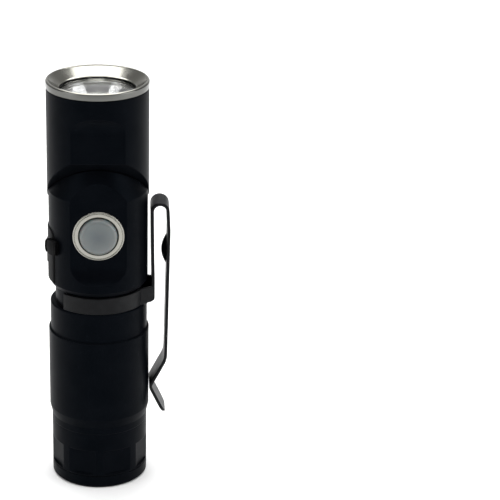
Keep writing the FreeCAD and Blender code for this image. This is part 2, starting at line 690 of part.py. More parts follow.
# ---------------------------------------------------------------- battery tube
def make_tube():
    """Grip tube: top thread inside the neck, collar, grip step and tail thread."""
    top = collar_top + d.thread_reach
    tail = d.cap_length - d.tail_thread_length
    seal_middle = d.cap_length - d.tail_seal_wire * 2
    body = turned("tube_body", [
        (d.tube_bore, tail), (d.tail_thread_radius, tail), (d.tail_thread_radius, d.cap_length),
        (d.tube_radius, d.cap_length), (d.tube_radius, grip_bottom), (grip_radius, grip_edge),
        (grip_radius, grip_top), (collar_radius, grip_top),
        (collar_radius, collar_top - d.edge_break), (collar_radius - d.edge_break, collar_top),
        (d.thread_radius, collar_top), (d.thread_radius, top), (d.tube_bore, top)])
    groove_low = d.tail_thread_radius - d.tail_seal_wire * 2
    groove = turned("tail_seal_groove", [
        (groove_low, seal_middle - d.tail_seal_wire), (d.tube_radius, seal_middle - d.tail_seal_wire),
        (d.tube_radius, seal_middle + d.tail_seal_wire), (groove_low, seal_middle + d.tail_seal_wire)])
    keep("battery_tube", cut("battery_tube", body, groove))
    keep("tail_seal", ring_about("tail_seal", d.tail_thread_radius - d.tail_seal_wire,
                                 d.tail_seal_wire - d.fit_gap, z=seal_middle))
    keep("housing_seal", turned("housing_seal", [
        (neck_bore + d.seat_gap, collar_top), (d.neck_radius, collar_top),
        (d.neck_radius, collar_top + d.housing_seal_thickness),
        (neck_bore + d.seat_gap, collar_top + d.housing_seal_thickness)]))


cap_inside = d.cap_floor + d.magnet_thickness
spring_seat = cap_inside + d.contact_thickness
cell_top = collar_top + d.thread_reach - d.front_spring_radius * 2 - d.cell_nub
cell_bottom = cell_top - d.cell_length


def spring(name, radius, low, high):
    """The sleeve that a round-wire spring fills between two heights."""
    wire = d.spring_wire
    return turned(name, [(radius - wire, low), (radius + wire, low), (radius + wire, high),
                         (radius - wire, high)])


def make_power():
    """Cell, its two springs and the contact boards that carry them."""
    soft = d.edge_break
    keep("battery_cell", turned("battery_cell", [
        (ZERO, cell_bottom), (d.cell_radius - soft, cell_bottom),
        (d.cell_radius, cell_bottom + soft), (d.cell_radius, cell_top - soft),
        (d.cell_radius - soft, cell_top), (d.cell_nub_radius, cell_top),
        (d.cell_nub_radius, cell_top + d.cell_nub), (ZERO, cell_top + d.cell_nub)]))
    board_low = collar_top + d.thread_reach
    keep("contact_board", cylinder("contact_board", d.thread_radius, d.contact_board_thickness,
                                   z=board_low))
    keep("front_spring", spring("front_spring", d.front_spring_radius, cell_top + d.cell_nub,
                                board_low))
    keep("tail_spring", spring("tail_spring", d.tail_spring_radius, spring_seat, cell_bottom))
    keep("tail_contact", cylinder("tail_contact", d.contact_radius, d.contact_thickness,
                                  z=cap_inside))


# ---------------------------------------------------------------- tail cap
def make_tail_cap():
    """Screw cap with a magnet in its floor and eight grip flats round it."""
    cap_bore = d.tail_thread_radius + d.run_gap
    pocket = d.magnet_radius + d.fit_gap
    body = turned("cap_body", [
        (ZERO, ZERO), (d.tube_radius - d.cap_edge, ZERO), (d.tube_radius, d.cap_edge),
        (d.tube_radius, d.line_height), (d.tube_radius - d.line_width, d.line_height),
        (d.tube_radius - d.line_width, d.line_height + d.line_width),
        (d.tube_radius, d.line_height + d.line_width), (d.tube_radius, d.cap_length),
        (cap_bore, d.cap_length), (cap_bore, cap_inside), (pocket, cap_inside),
        (pocket, d.cap_floor), (ZERO, d.cap_floor)])
    count = int(d.cap_flat_count.value)
    flats = []
    for index in range(count):
        flat = block(f"cap_flat_{index}", (d.cap_flat, d.tube_radius * 2),
                     (-d.cap_flat_width / 2, d.cap_flat_width / 2),
                     (d.flat_bottom, d.flat_bottom + d.flat_length))
        turn = group(f"cap_flat_turn_{index}", flat)
        angle = (index + 0.5) * 360 / count
        turn.Placement = FreeCAD.Placement(FreeCAD.Vector(0, 0, 0),
                                           FreeCAD.Rotation(FreeCAD.Vector(0, 0, 1), angle))
        flats.append(turn)
    keep("tail_cap", cut("tail_cap", body, *flats))
    keep("tail_magnet", cylinder("tail_magnet", d.magnet_radius, d.magnet_thickness,
                                 z=d.cap_floor))


# ---------------------------------------------------------------- pocket clip
band_inner = d.neck_radius + d.band_gap
band_outer = band_inner + d.band_thickness
band_low = collar_top + d.fit_gap
band_high = band_low + d.band_height
leg_inner = casing_radius + d.leg_clearance
leg_outer = leg_inner + d.strip
pad_reach = leg_outer + d.pad_step
bend_middle = leg_outer + d.bend_radius
arm_inner = bend_middle + d.bend_radius
arm_outer = arm_inner + d.strip
bend_height = elbow - d.bend_drop


def omega_form(name, reach, root_half, flat_half, round_radius):
    """A round band blank with a flat-topped bulge on the clip side."""
    base = d.neck_radius - d.pad_inset
    wedge = plate(f"{name}_wedge", "XY_Plane", [
        (base, -root_half), (reach, -flat_half), (reach, flat_half), (base, root_half)],
        d.band_height * 4)
    zone = block(f"{name}_zone", (-reach * 2, reach * 2), (-reach * 2, reach * 2),
                 (band_low, band_high))
    wedge_mount = group(f"{name}_wedge_mount", wedge)
    place(wedge_mount, z=band_low)
    disc = cylinder(f"{name}_disc", round_radius, d.band_height, z=band_low)
    return fuse(name, disc, common(f"{name}_bulge", wedge_mount, zone))


def quarter_bend(name, first_angle):
    """A quarter of the clip's top bend, as a strip turned on edge."""
    half = d.clip_width / 2
    outer = cylinder(f"{name}_outer", d.bend_radius + d.strip, d.clip_width, bend_middle, half,
                     bend_height, TO_FRONT, 90)
    inner = cylinder(f"{name}_inner", d.bend_radius, d.clip_width, bend_middle, half, bend_height,
                     TO_FRONT, 90)
    spin = FreeCAD.Rotation(FreeCAD.Vector(0, 0, 1), first_angle)
    for bar in (outer, inner):
        bar.Placement = FreeCAD.Placement(bar.Placement.Base, TO_FRONT.multiply(spin))
    return cut(name, outer, inner)


def make_clip_band():
    """Open spring band in the neck groove, with the bulge and leg that carry the arm."""
    flat_half = d.clip_width / 2
    strip = d.strip
    outer = omega_form("band_outer_form", pad_reach, d.pad_root, flat_half, band_outer)
    inner = omega_form("band_inner_form", pad_reach - strip, d.pad_root - strip,
                       flat_half - strip, band_inner)
    spread = tangent(d.band_mouth)
    far = d.head_radius * 2
    mouth = plate("band_mouth_wedge", "XY_Plane", [
        (ZERO, ZERO), (-far, far * spread), (-far, -far * spread)], rim * 2)
    leg = plate("clip_leg", "XZ_Plane", [
        (pad_reach - strip, band_low), (pad_reach, band_low),
        (pad_reach, band_high + d.leg_root), (leg_outer, bend_height),
        (leg_inner, bend_height), (pad_reach - strip, band_high + d.leg_root)], d.clip_width)
    band = cut("band_strip", outer, inner, mouth)
    keep("clip_band", fuse("clip_band", band, leg, quarter_bend("bend_inner_half", 90)))


def make_clip_arm():
    """Outer arm of the clip: bulge, straight run, contact bend and flared tip."""
    strip = d.strip
    bulge = d.arm_bulge
    bulge_height = bend_height - d.bulge_drop
    low_height = grip_bottom + d.arm_low_rise
    contact = grip_radius + d.tip_clearance
    contact_height = grip_bottom + d.tip_rise
    tip_height = contact_height - d.tip_drop
    low = arm_inner - d.arm_low_inset
    blade = plate("arm_blade", "XZ_Plane", [
        (arm_inner, bend_height), (arm_inner + bulge, bulge_height), (low, low_height),
        (contact, contact_height), (contact + d.tip_flare, tip_height),
        (contact + d.tip_flare + strip, tip_height), (contact + strip, contact_height),
        (low + strip, low_height), (arm_outer + bulge, bulge_height), (arm_outer, bend_height)],
        d.clip_width)
    dimple_height = bend_height - d.dimple_drop
    half_width = d.dimple_width / 2
    dimple_radius = (half_width * half_width / d.dimple_depth + d.dimple_depth) / 2
    dimple_middle = arm_inner + bulge - d.dimple_depth + dimple_radius
    half_length = d.dimple_length / 2
    outside = capsule("dimple_outside", dimple_radius, half_length, dimple_middle, dimple_height)
    inside = capsule("dimple_inside", dimple_radius - strip, half_length - strip, dimple_middle,
                     dimple_height)
    far = d.clip_width
    zone = block("dimple_zone", (arm_inner - far, arm_inner + bulge + strip / 2), (-far, far),
                 (low_height, bend_height))
    bump = common("dimple_bump", outside, zone)
    arm_form = fuse("arm_form", blade, quarter_bend("bend_outer_half", 0), bump)
    keep("clip_arm", cut("clip_arm", arm_form, inside))


make_head_housing()
make_bezel()
make_lens()
make_reflector()
make_light_engine()
make_swivel()
make_switch_housing()
make_button()
make_electronics()
make_port_cover()
make_tube()
make_power()
make_tail_cap()
make_clip_band()
make_clip_arm()

doc.recompute()

faults = []
for item in doc.Objects:
    if any(state in ("Invalid", "Error") for state in item.State):
        faults.append(f"{item.Label}: {item.State}")
for label, item in parts.items():
    if item.Shape.isNull() or not item.Shape.isValid() or not item.Shape.Solids:
        faults.append(f"{label}: no valid solid")
if faults:
    raise RuntimeError("; ".join(faults))

for label, item in parts.items():
    item.Shape.exportStep(f"parts/{label}.step")
    box = item.Shape.BoundBox
    print(f"{label:16s} solids {len(item.Shape.Solids)} volume {item.Shape.Volume:9.2f} "
          f"x {box.XMin:7.2f} {box.XMax:7.2f} y {box.YMin:7.2f} {box.YMax:7.2f} "
          f"z {box.ZMin:7.2f} {box.ZMax:7.2f}")
print(len(parts), "sub-parts, height", round(rim.value, 3))
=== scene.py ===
import bpy
import bmesh
import json
import math
from mathutils import Matrix, Vector


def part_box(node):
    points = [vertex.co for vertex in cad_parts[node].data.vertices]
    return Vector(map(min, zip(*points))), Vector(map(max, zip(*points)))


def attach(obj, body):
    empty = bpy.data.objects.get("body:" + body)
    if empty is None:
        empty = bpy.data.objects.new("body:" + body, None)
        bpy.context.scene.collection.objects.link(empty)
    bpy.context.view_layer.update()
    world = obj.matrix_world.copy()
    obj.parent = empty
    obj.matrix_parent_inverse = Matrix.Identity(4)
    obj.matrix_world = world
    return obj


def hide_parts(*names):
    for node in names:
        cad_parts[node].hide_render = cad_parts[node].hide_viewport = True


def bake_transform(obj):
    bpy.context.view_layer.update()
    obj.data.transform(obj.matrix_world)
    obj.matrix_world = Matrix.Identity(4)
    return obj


# A pocket flashlight with a swivelling head, standing on its tail. The CAD frame gives places and
# sizes; the pieces made here carry the fine shapes, and every piece and node a node material.

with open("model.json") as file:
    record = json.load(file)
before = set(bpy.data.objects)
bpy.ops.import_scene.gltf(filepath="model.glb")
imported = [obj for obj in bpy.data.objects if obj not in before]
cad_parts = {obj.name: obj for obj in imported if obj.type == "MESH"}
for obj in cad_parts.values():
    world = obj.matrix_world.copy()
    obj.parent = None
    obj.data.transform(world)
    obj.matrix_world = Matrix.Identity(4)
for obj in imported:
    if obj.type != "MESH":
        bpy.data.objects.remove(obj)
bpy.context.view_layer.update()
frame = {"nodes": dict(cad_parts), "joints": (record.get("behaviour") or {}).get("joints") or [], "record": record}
MM = 0.001

# The clip's strip, and the distance of its flat bulge's face from the light's axis
STRIP = 0.85 * MM
STRIP_MIDDLE = STRIP / 2
CLIP_FRONT = 14.9 * MM

# Sockets of a colour Mix node
MIX_FACTOR, MIX_FIRST, MIX_SECOND, MIX_RESULT = 0, 6, 7, 2


# ------------------------------------------------------------------ places from the frame
def joint_place(name):
    """Where a joint stands."""
    return Vector(next(joint for joint in frame["joints"] if joint["name"] == name)["pos_m"])


clip_hinge = joint_place("clip_flex")
ring_low, ring_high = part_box("button_ring")
button_height = (ring_low.z + ring_high.z) / 2


# ------------------------------------------------------------------ mesh helpers
def finish_bmesh(name, bm, smooth=True):
    """Turn a bmesh into an object with outward normals, smooth shaded except at hard edges."""
    bmesh.ops.remove_doubles(bm, verts=bm.verts, dist=1e-7)
    bmesh.ops.recalc_face_normals(bm, faces=bm.faces)
    mesh = bpy.data.meshes.new(name)
    bm.to_mesh(mesh)
    bm.free()
    if smooth:
        mesh.shade_smooth()
        mesh.set_sharp_from_angle(angle=math.radians(38))
    piece = bpy.data.objects.new(name, mesh)
    bpy.context.scene.collection.objects.link(piece)
    return piece


def ring_about_z(bm, radius, height, count, offset=0.0):
    """A ring of vertices about Z, turned by `offset` of one step."""
    ring = []
    for index in range(count):
        angle = 2 * math.pi * (index + offset) / count
        ring.append(bm.verts.new((radius * math.cos(angle), radius * math.sin(angle), height)))
    return ring


def join_rings(bm, first, second):
    """Join two closed rings by quads, or by triangles where one is a single vertex."""
    count = max(len(first), len(second))
    for index in range(count):
        after = (index + 1) % count
        corners = (first[index % len(first)], first[after % len(first)],
                   second[after % len(second)], second[index % len(second)])
        bm.faces.new(list(dict.fromkeys(corners)))


def join_lines(bm, first, second):
    """Join two open lines of vertices by quads."""
    for index in range(len(first) - 1):
        bm.faces.new((first[index], first[index + 1], second[index + 1], second[index]))


def rounded_outline(corners, steps=4):
    """Replace each (radius, height, rounding) corner of a closed outline by a small curve."""
    outline = []
    for index, (radius, height, rounding) in enumerate(corners):
        here = Vector((radius, height))
        if rounding == 0:
            outline.append(here)
            continue
        before = Vector(corners[index - 1][:2])
        after = Vector(corners[(index + 1) % len(corners)][:2])
        start = here + (before - here).normalized() * rounding
        end = here + (after - here).normalized() * rounding
        for step in range(steps + 1):
            t = step / steps
            outline.append(start * (1 - t) ** 2 + here * 2 * t * (1 - t) + end * t ** 2)
    return outline


def lathe(name, outline, segments, closed=True):
    """Turn an outline of (radius, height) points about Z."""
    bm = bmesh.new()
    rings = []
    for radius, height in outline:
        rings.append(ring_about_z(bm, radius, height, 1 if radius < 1e-7 else segments))
    for first, second in zip(rings, rings[1:]):
        join_rings(bm, first, second)
    if closed:
        join_rings(bm, rings[-1], rings[0])
    return finish_bmesh(name, bm)


def strip_section(half_width, cuts):
    """Outline of the clip's strip, with rounded edges and each broad face cut into `cuts`."""
    rounding = 0.2 * MM
    flat = half_width - rounding
    section = []
    for side, face, start in ((1, 1, 0), (-1, 1, 90), (-1, -1, 180), (1, -1, 270)):
        for step in range(4):
            angle = math.radians(start + 30 * step)
            section.append((flat * side + rounding * math.cos(angle),
                            (STRIP_MIDDLE - rounding) * face + rounding * math.sin(angle)))
        if side == face:
            for step in range(1, cuts):
                section.append((flat * side * (1 - 2 * step / cuts), STRIP_MIDDLE * face))
    return section


def sweep_strip(path, half_width, across, cuts):
    """Sweep the clip's strip along a flat path; `across` is the direction of its width."""
    section = strip_section(half_width, cuts)
    bm = bmesh.new()
    rings = []
    for index, point in enumerate(path):
        before = path[max(index - 1, 0)]
        after = path[min(index + 1, len(path) - 1)]
        out = (after - before).normalized().cross(across).normalized()
        rings.append([bm.verts.new(point + across * u + out * v) for u, v in section])
    for first, second in zip(rings, rings[1:]):
        join_rings(bm, first, second)
    bm.faces.new(rings[0])
    bm.faces.new(list(reversed(rings[-1])))
    return bm


def smooth_path(points, radii, spacing=0.5 * MM):
    """Round the corners of a polyline with arcs of the given radii and sample it evenly."""
    path = [points[0]]
    for before, here, after, radius in zip(points, points[1:], points[2:], radii):
        to_before = (before - here).normalized()
        to_after = (after - here).normalized()
        half = to_before.angle(to_after) / 2
        start = here + to_before * (radius / math.tan(half))
        end = here + to_after * (radius / math.tan(half))
        centre = here + (to_before + to_after).normalized() * (radius / math.sin(half))
        turn = math.pi - 2 * half
        steps = max(3, int(turn / math.radians(9)))
        first = start - centre
        axis = first.cross(end - centre).normalized()
        for step in range(steps + 1):
            path.append(centre + Matrix.Rotation(turn * step / steps, 3, axis) @ first)
    path.append(points[-1])
    sampled = [path[0]]
    for here, after in zip(path, path[1:]):
        count = max(1, int((after - here).length / spacing))
        for step in range(1, count + 1):
            sampled.append(here.lerp(after, step / count))
    return sampled


# ------------------------------------------------------------------ material helpers
def grey(value):
    """A neutral colour."""
    return (value, value, value, 1)


def new_material(name):
    """A node material, with its tree and its Principled shader."""
    material = bpy.data.materials.new(name)
    material.use_nodes = True
    tree = material.node_tree
    return material, tree, tree.nodes["Principled BSDF"]


def add_node(tree, kind, **settings):
    """Add a node and set its sockets or properties by name."""
    node = tree.nodes.new(kind)
    for key, value in settings.items():
        socket = key.replace("_", " ")
        if socket in node.inputs:
            node.inputs[socket].default_value = value
        else:
            setattr(node, key, value)
    return node


def object_noise(tree, scale, detail, roughness=0.55, stretch=(1, 1, 1)):
    """A noise signal fixed to the object, optionally stretched along an axis."""
    place = add_node(tree, "ShaderNodeTexCoord")
    mapping = add_node(tree, "ShaderNodeMapping", Scale=stretch)
    noise = add_node(tree, "ShaderNodeTexNoise", Scale=scale, Detail=detail, Roughness=roughness)
    tree.links.new(place.outputs["Object"], mapping.inputs["Vector"])
    tree.links.new(mapping.outputs["Vector"], noise.inputs["Vector"])
    return noise.outputs["Fac"]


def distance_from(tree, point, axes):
    """Distance of the surface from a point, along the axes that are 1 only."""
    place = add_node(tree, "ShaderNodeTexCoord")
    offset = add_node(tree, "ShaderNodeVectorMath", operation="SUBTRACT")
    offset.inputs[1].default_value = point
    flatten = add_node(tree, "ShaderNodeVectorMath", operation="MULTIPLY")
    flatten.inputs[1].default_value = axes
    length = add_node(tree, "ShaderNodeVectorMath", operation="LENGTH")
    tree.links.new(place.outputs["Object"], offset.inputs[0])
    tree.links.new(offset.outputs["Vector"], flatten.inputs[0])
    tree.links.new(flatten.outputs["Vector"], length.inputs[0])
    return length.outputs["Value"]


def map_value(tree, source, low, high, start=0.0, end=1.0):
    """Map a signal that runs from start to end to the range from low to high."""
    node = add_node(tree, "ShaderNodeMapRange", From_Min=start, From_Max=end, To_Min=low,
                    To_Max=high)
    tree.links.new(source, node.inputs["Value"])
    return node.outputs["Result"]


def ramp_between(tree, source, low, high, first, last):
    """Two colours blended between two stops of a signal."""
    ramp = add_node(tree, "ShaderNodeValToRGB")
    for stop, position, colour in zip(ramp.color_ramp.elements, (low, high), (first, last)):
        stop.position = position
        stop.color = colour
    tree.links.new(source, ramp.inputs["Fac"])
    return ramp.outputs["Color"]


def mix_colour(tree, amount, first, second, blend="MIX"):
    """Blend a colour signal with a fixed colour."""
    mix = add_node(tree, "ShaderNodeMix", data_type="RGBA", blend_type=blend)
    mix.inputs[MIX_SECOND].default_value = second
    tree.links.new(amount, mix.inputs[MIX_FACTOR])
    tree.links.new(first, mix.inputs[MIX_FIRST])
    return mix.outputs[MIX_RESULT]


def bump_from(tree, source, strength, distance):
    """A bump normal from a height signal."""
    bump = add_node(tree, "ShaderNodeBump", Strength=strength, Distance=distance)
    tree.links.new(source, bump.inputs["Height"])
    return bump.outputs["Normal"]


def link_surface(tree, shader, colour, roughness, normal=None):
    """Feed the shader its colour, roughness and bump."""
    tree.links.new(colour, shader.inputs["Base Color"])
    tree.links.new(roughness, shader.inputs["Roughness"])
    if normal:
        tree.links.new(normal, shader.inputs["Normal"])


def round_normal(tree, radius, normal=None):
    """The surface normal, rounded over hard edges."""
    bevel = add_node(tree, "ShaderNodeBevel", samples=8, Radius=radius)
    if normal:
        tree.links.new(normal, bevel.inputs["Normal"])
    return bevel.outputs["Normal"]


def paint_edge_highlight(tree, radius, colour, highlight_colour):
    """Painted highlight: lighten the colour in broken patches along hard edges."""
    along = add_node(tree, "ShaderNodeVectorMath", operation="DOT_PRODUCT")
    tree.links.new(round_normal(tree, radius), along.inputs[0])
    tree.links.new(add_node(tree, "ShaderNodeNewGeometry").outputs["Normal"], along.inputs[1])
    on_edge = map_value(tree, along.outputs["Value"], 0.0, 1.0, 0.99, 0.80)
    patches = map_value(tree, object_noise(tree, 900.0, 5.0), 0.0, 0.9)
    amount = add_node(tree, "ShaderNodeMath", operation="MULTIPLY")
    tree.links.new(on_edge, amount.inputs[0])
    tree.links.new(patches, amount.inputs[1])
    return mix_colour(tree, amount.outputs["Value"], colour, highlight_colour)


# ------------------------------------------------------------------ materials
def anodised_black():
    """Fine-blasted hard anodising: near black, satin, with faint handling marks."""
    material, tree, shader = new_material("black_anodised")
    tone = ramp_between(tree, object_noise(tree, 180.0, 5.0), 0.3, 0.75,
                        (0.0010, 0.0013, 0.0020, 1), (0.0022, 0.0026, 0.0036, 1))
    # painted highlight along the hard edges, lighter in broken patches
    colour = paint_edge_highlight(tree, 0.196 * MM, tone, (0.012, 0.013, 0.015, 1))
    smears = object_noise(tree, 260.0, 6.0, 0.6, (1, 1, 0.35))
    grain = bump_from(tree, object_noise(tree, 9000.0, 3.0), 0.10, 0.04 * MM)
    link_surface(tree, shader, colour, map_value(tree, smears, 0.34, 0.47),
                 round_normal(tree, 0.28 * MM, grain))
    shader.inputs["Specular IOR Level"].default_value = 0.028
    shader.inputs["Specular Tint"].default_value = (0.50, 0.72, 1.0, 1)
    return material


def turned_metal(name, tone, rough_low, rough_high):
    """Bright metal with fine turning lines round the axis."""
    material, tree, shader = new_material(name)
    clouds = object_noise(tree, 320.0, 4.0)
    lines = object_noise(tree, 1.0, 3.0, 0.6, (40, 40, 5200))
    red, green, blue = tone
    colour = ramp_between(tree, clouds, 0.25, 0.8, (red * 0.9, green * 0.9, blue * 0.88, 1),
                          (red, green, blue, 1))
    link_surface(tree, shader, colour, map_value(tree, clouds, rough_low, rough_high),
                 bump_from(tree, lines, 0.06, 0.03 * MM))
    shader.inputs["Metallic"].default_value = 1.0
    return material


def polished_steel():
    """Bright turned rim and button ring; the rim's outside wall is painted darker, a painted shade for its dimmer
    reflection.
    """
    material = turned_metal("polished_steel", (0.34, 0.335, 0.305), 0.12, 0.24)
    tree = material.node_tree
    base = tree.nodes["Principled BSDF"].inputs["Base Color"]
    from_axis = distance_from(tree, (0, 0, 0), (1, 1, 0))
    # painted shade: the colour beyond 13.34 mm from the axis is multiplied darker
    outside = map_value(tree, from_axis, 0.0, 1.0, 13.34 * MM, 13.42 * MM)
    shaded_outside = mix_colour(tree, outside, base.links[0].from_socket, (0.42, 0.43, 0.45, 1),
                        "MULTIPLY")
    tree.links.new(shaded_outside, base)
    return material


def coated_spring_steel():
    """Black electro-coated strip: satin, slightly pitted, with worn lighter patches."""
    material, tree, shader = new_material("black_steel")
    wear = object_noise(tree, 420.0, 7.0, 0.65)
    colour = ramp_between(tree, wear, 0.45, 0.8, (0.0022, 0.0026, 0.0034, 1),
                          (0.0075, 0.0080, 0.0090, 1))
    pits = bump_from(tree, object_noise(tree, 2600.0, 4.0), 0.18, 0.08 * MM)
    link_surface(tree, shader, colour, map_value(tree, wear, 0.30, 0.50), pits)
    shader.inputs["Specular IOR Level"].default_value = 0.12
    return material


def black_rubber():
    """Matt moulded rubber with a faint mottled surface."""
    material, tree, shader = new_material("black_rubber")
    mottle = object_noise(tree, 500.0, 5.0)
    colour = ramp_between(tree, mottle, 0.3, 0.7, (0.0014, 0.0015, 0.0018, 1),
                          (0.0032, 0.0033, 0.0037, 1))
    grain = bump_from(tree, object_noise(tree, 4200.0, 3.0), 0.2, 0.06 * MM)
    link_surface(tree, shader, colour, map_value(tree, mottle, 0.47, 0.60), grain)
    shader.inputs["Specular IOR Level"].default_value = 0.05
    return material


def grey_silicone():
    """Milky translucent silicone, darker in the middle where the switch shows through."""
    material, tree, shader = new_material("grey_silicone")
    cloud = object_noise(tree, 380.0, 4.0)
    blur = add_node(tree, "ShaderNodeMath", operation="MULTIPLY_ADD")
    blur.inputs[1].default_value = 1.6 * MM
    tree.links.new(cloud, blur.inputs[0])
    tree.links.new(distance_from(tree, (0, 0, button_height), (1, 0, 1)), blur.inputs[2])
    spread = map_value(tree, blur.outputs["Value"], 0.0, 1.0, 0.8 * MM, 5.5 * MM)
    colour = ramp_between(tree, spread, 0.1, 0.9, (0.078, 0.096, 0.103, 1),
                          (0.135, 0.152, 0.152, 1))
    skin = bump_from(tree, object_noise(tree, 1500.0, 3.0), 0.12, 0.05 * MM)
    link_surface(tree, shader, colour, map_value(tree, cloud, 0.30, 0.40), skin)
    shader.inputs["Subsurface Weight"].default_value = 0.25
    shader.inputs["Subsurface Scale"].default_value = 2 * MM
    shader.inputs["Coat Weight"].default_value = 0.15
    return material


def clear_glass():
    """Coated lens glass with a faint tint."""
    material, tree, shader = new_material("lens_glass")
    dust = object_noise(tree, 700.0, 6.0)
    colour = ramp_between(tree, dust, 0.3, 0.9, (0.94, 0.97, 0.98, 1), (0.98, 0.99, 0.99, 1))
    link_surface(tree, shader, colour, map_value(tree, dust, 0.0, 0.03))
    shader.inputs["Transmission Weight"].default_value = 1.0
    shader.inputs["IOR"].default_value = 1.2
    shader.inputs["Alpha"].default_value = 0.35
    return material


def mirror_metal():
    """Vacuum-metallised reflector."""
    material, tree, shader = new_material("mirror_metal")
    haze = object_noise(tree, 900.0, 4.0)
    link_surface(tree, shader, ramp_between(tree, haze, 0.3, 0.8, grey(0.74), grey(0.86)),
                 map_value(tree, haze, 0.05, 0.12))
    shader.inputs["Metallic"].default_value = 1.0
    return material


def plastic(name, dark, light, rough, scale=350.0):
    """Moulded or coated plastic with a slight cloud in its colour."""
    material, tree, shader = new_material(name)
    cloud = object_noise(tree, scale, 4.0)
    link_surface(tree, shader, ramp_between(tree, cloud, 0.3, 0.7, dark, light),
                 map_value(tree, cloud, rough - 0.05, rough + 0.05))
    return material


MATERIALS = {
    "black_anodised": anodised_black(),
    "polished_steel": polished_steel(),
    "steel": turned_metal("steel", (0.45, 0.45, 0.46), 0.28, 0.40),
    "black_steel": coated_spring_steel(),
    "brass": turned_metal("brass", (0.72, 0.55, 0.25), 0.22, 0.34),
    "bare_copper": turned_metal("bare_copper", (0.72, 0.42, 0.28), 0.25, 0.38),
    "mirror_metal": mirror_metal(),
    "lens_glass": clear_glass(),
    "black_rubber": black_rubber(),
    "grey_silicone": grey_silicone(),
    "white_plastic": plastic("white_plastic", grey(0.74), grey(0.84), 0.45),
    "black_plastic": plastic("black_plastic", grey(0.015), grey(0.025), 0.4),
    "circuit_board": plastic("circuit_board", (0.015, 0.10, 0.045, 1), (0.03, 0.16, 0.07, 1), 0.3,
                             900.0),
    "led_board_white": plastic("led_board_white", grey(0.78), grey(0.86), 0.3),
    "led_phosphor": plastic("led_phosphor", (0.85, 0.62, 0.10, 1), (0.93, 0.75, 0.20, 1), 0.2),
    "lead_insulation": plastic("lead_insulation", (0.40, 0.03, 0.02, 1), (0.5, 0.05, 0.04, 1),
                               0.4),
    "cell_wrap": plastic("cell_wrap", (0.06, 0.20, 0.40, 1), (0.09, 0.26, 0.48, 1), 0.25),
}


def set_material(piece, slot_name):
    """Give an object one material."""
    piece.data.materials.clear()
    piece.data.materials.append(MATERIALS[slot_name])


def dress(piece, slot_name):
    """Give a new piece its material."""
    set_material(piece, slot_name)


for row in frame["record"]["subparts"]:
    set_material(frame["nodes"][row["node"]], row["material_slot"])


# ------------------------------------------------------------------ bezel, lens and reflector
def make_bezel_rim():
    """Polished rim: thin lip, conical bright wall, small inner step above the glass."""
    low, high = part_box("bezel_ring")
    seal_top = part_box("lens_seal")[1].z
    head_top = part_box("head_housing")[1].z
    lens_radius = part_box("front_lens")[1].x
    skirt_in = lens_radius + 0.1 * MM
    skirt_out = lens_radius + 1.0 * MM
    opening = 10.0 * MM
    outer = high.x
    rim = high.z
    edge = 0.12 * MM
    outline = rounded_outline([
        (opening, seal_top, 0), (skirt_in, seal_top, 0), (skirt_in, low.z, 0),
        (skirt_out, low.z, 0), (skirt_out, head_top, 0), (outer, head_top, edge),
        (outer, rim - 0.30 * MM, edge), (outer - 0.32 * MM, rim, edge),
        (outer - 0.70 * MM, rim, 0.10 * MM), (outer - 0.85 * MM, rim - 0.25 * MM, 0.08 * MM),
        (opening + 0.25 * MM, seal_top + 0.35 * MM, edge),
        (opening, seal_top + 0.22 * MM, 0.06 * MM)])
    piece = lathe("bezel_rim", outline, 192)
    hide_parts("bezel_ring")
    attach(piece, "head")
    dress(piece, "polished_steel")


def make_facet_reflector():
    """Reflector cup whose inner wall is a parabola broken into small flat facets."""
    low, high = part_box("reflector")
    mouth = 9.9 * MM
    throat = 2.9 * MM
    wall = 0.7 * MM
    flange_low = high.z - 0.9 * MM
    rows = 9
    facets = 40
    bm = bmesh.new()
    rings = []
    for row in range(rows + 1):
        radius = throat + (mouth - throat) * row / rows
        share = (radius ** 2 - throat ** 2) / (mouth ** 2 - throat ** 2)
        height = low.z + (high.z - low.z) * share
        rings.append(ring_about_z(bm, radius, height, facets, 0.5 * (row % 2)))
    for row, (inner, outer) in enumerate(zip(rings, rings[1:])):
        for index in range(facets):
            after = (index + 1) % facets
            if row % 2:
                bm.faces.new((inner[index], outer[after], outer[index]))
                bm.faces.new((inner[index], inner[after], outer[after]))
            else:
                bm.faces.new((inner[index], inner[after], outer[index]))
                bm.faces.new((inner[after], outer[after], outer[index]))
    previous = rings[-1]
    for radius, height in ((high.x, high.z), (high.x, flange_low), (mouth + wall, flange_low),
                           (throat + wall, low.z)):
        ring = ring_about_z(bm, radius, height, facets, 0.5 * (rows % 2))
        join_rings(bm, previous, ring)
        previous = ring
    join_rings(bm, previous, rings[0])
    piece = finish_bmesh("facet_reflector", bm, smooth=False)
    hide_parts("reflector")
    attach(piece, "head")
    dress(piece, "mirror_metal")


# ------------------------------------------------------------------ button
def turn_to_front(piece, distance, height):
    """Lay a lathed piece on its side so that its axis points out at the button."""
    turn = Matrix.Rotation(math.radians(90), 4, "X")
    piece.data.transform(Matrix.Translation((0, -distance, height)) @ turn)


def make_button_cap():
    """Low silicone dome with a soft shoulder, its flange and the post behind it."""
    low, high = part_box("button_cap")
    seat = -high.y
    top = -low.y - seat
    post = 1.6 * MM
    flange = (high.z - low.z) / 2
    flange_top = 4.0 * MM
    flange_low = flange_top - 0.7 * MM
    cap = flange - 0.9 * MM
    outline = rounded_outline([
        (0, 0, 0), (post, 0, 0.2 * MM), (post, flange_low, 0), (flange, flange_low, 0),
        (flange, flange_top, 0), (cap, flange_top, 0), (cap, top - 0.75 * MM, 0.5 * MM),
        (cap - 0.7 * MM, top - 0.12 * MM, 0.35 * MM), (cap * 0.45, top, 0.5 * MM),
        (0, top, 0)], 6)
    piece = lathe("button_dome", outline, 96, closed=False)
    turn_to_front(piece, seat, (low.z + high.z) / 2)
    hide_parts("button_cap")
    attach(piece, "button")
    dress(piece, "grey_silicone")


